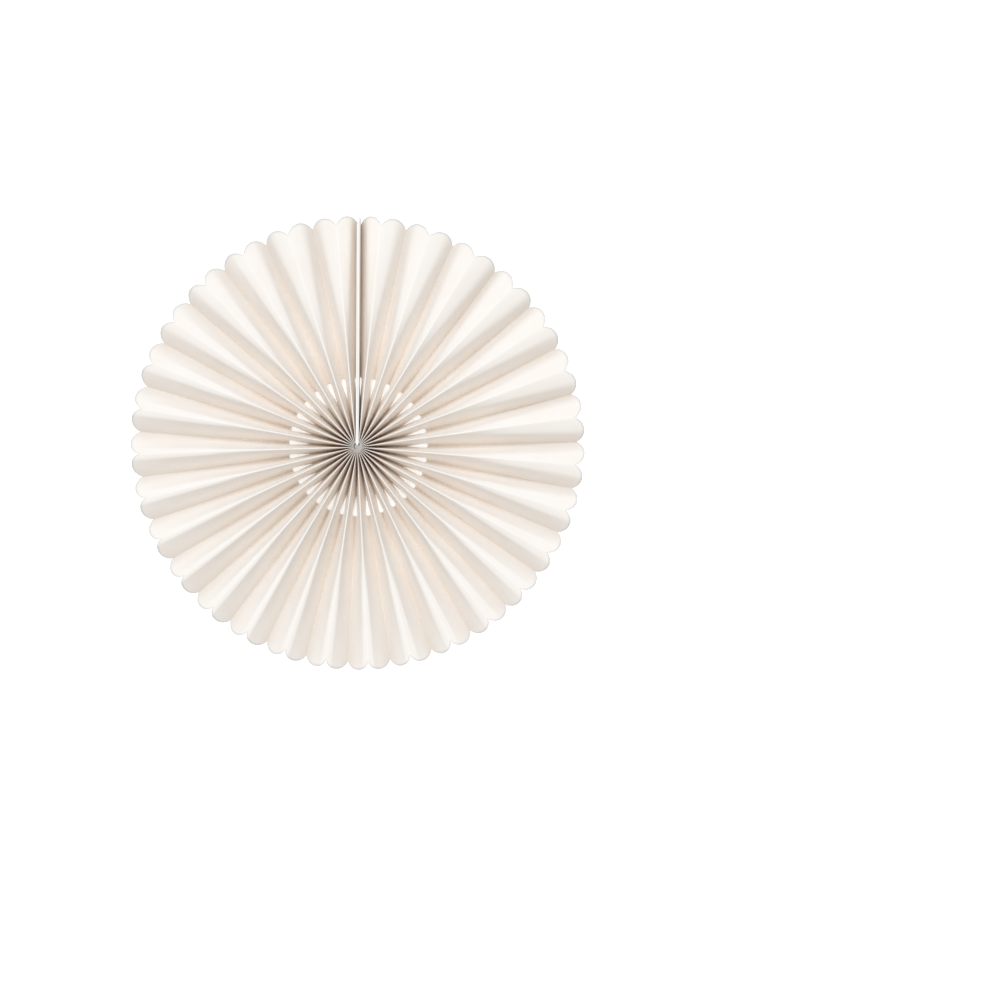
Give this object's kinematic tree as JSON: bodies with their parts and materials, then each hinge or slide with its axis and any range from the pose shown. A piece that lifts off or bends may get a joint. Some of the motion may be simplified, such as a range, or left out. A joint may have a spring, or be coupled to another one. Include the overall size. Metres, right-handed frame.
{
  "type": "paper fan rosette",
  "caption": "Round wall decoration of accordion-folded cream paper with a scalloped rim, punched slots round the hub and a seam of stiff cards.",
  "frame": {"origin": "on the hub's axis, in the plane of the hub's back, where the rosette rests when it lies face up", "axes": "+Z out of the decorated front, +Y from the hub along the seam of the two cards, +X to the right seen from the front"},
  "size_m": [0.3998, 0.4015, 0.0252],
  "materials": {
    "paper": "matte cream paper",
    "card": "matte off-white card",
    "tape": "thin translucent film",
    "thread": "off-white thread"
  },
  "bodies": {
    "root": {"pleated_paper": "paper", "end_card_right": "card", "end_card_left": "card", "adhesive_tape": "tape", "binding_thread": "thread"}
  },
  "joints": []
}
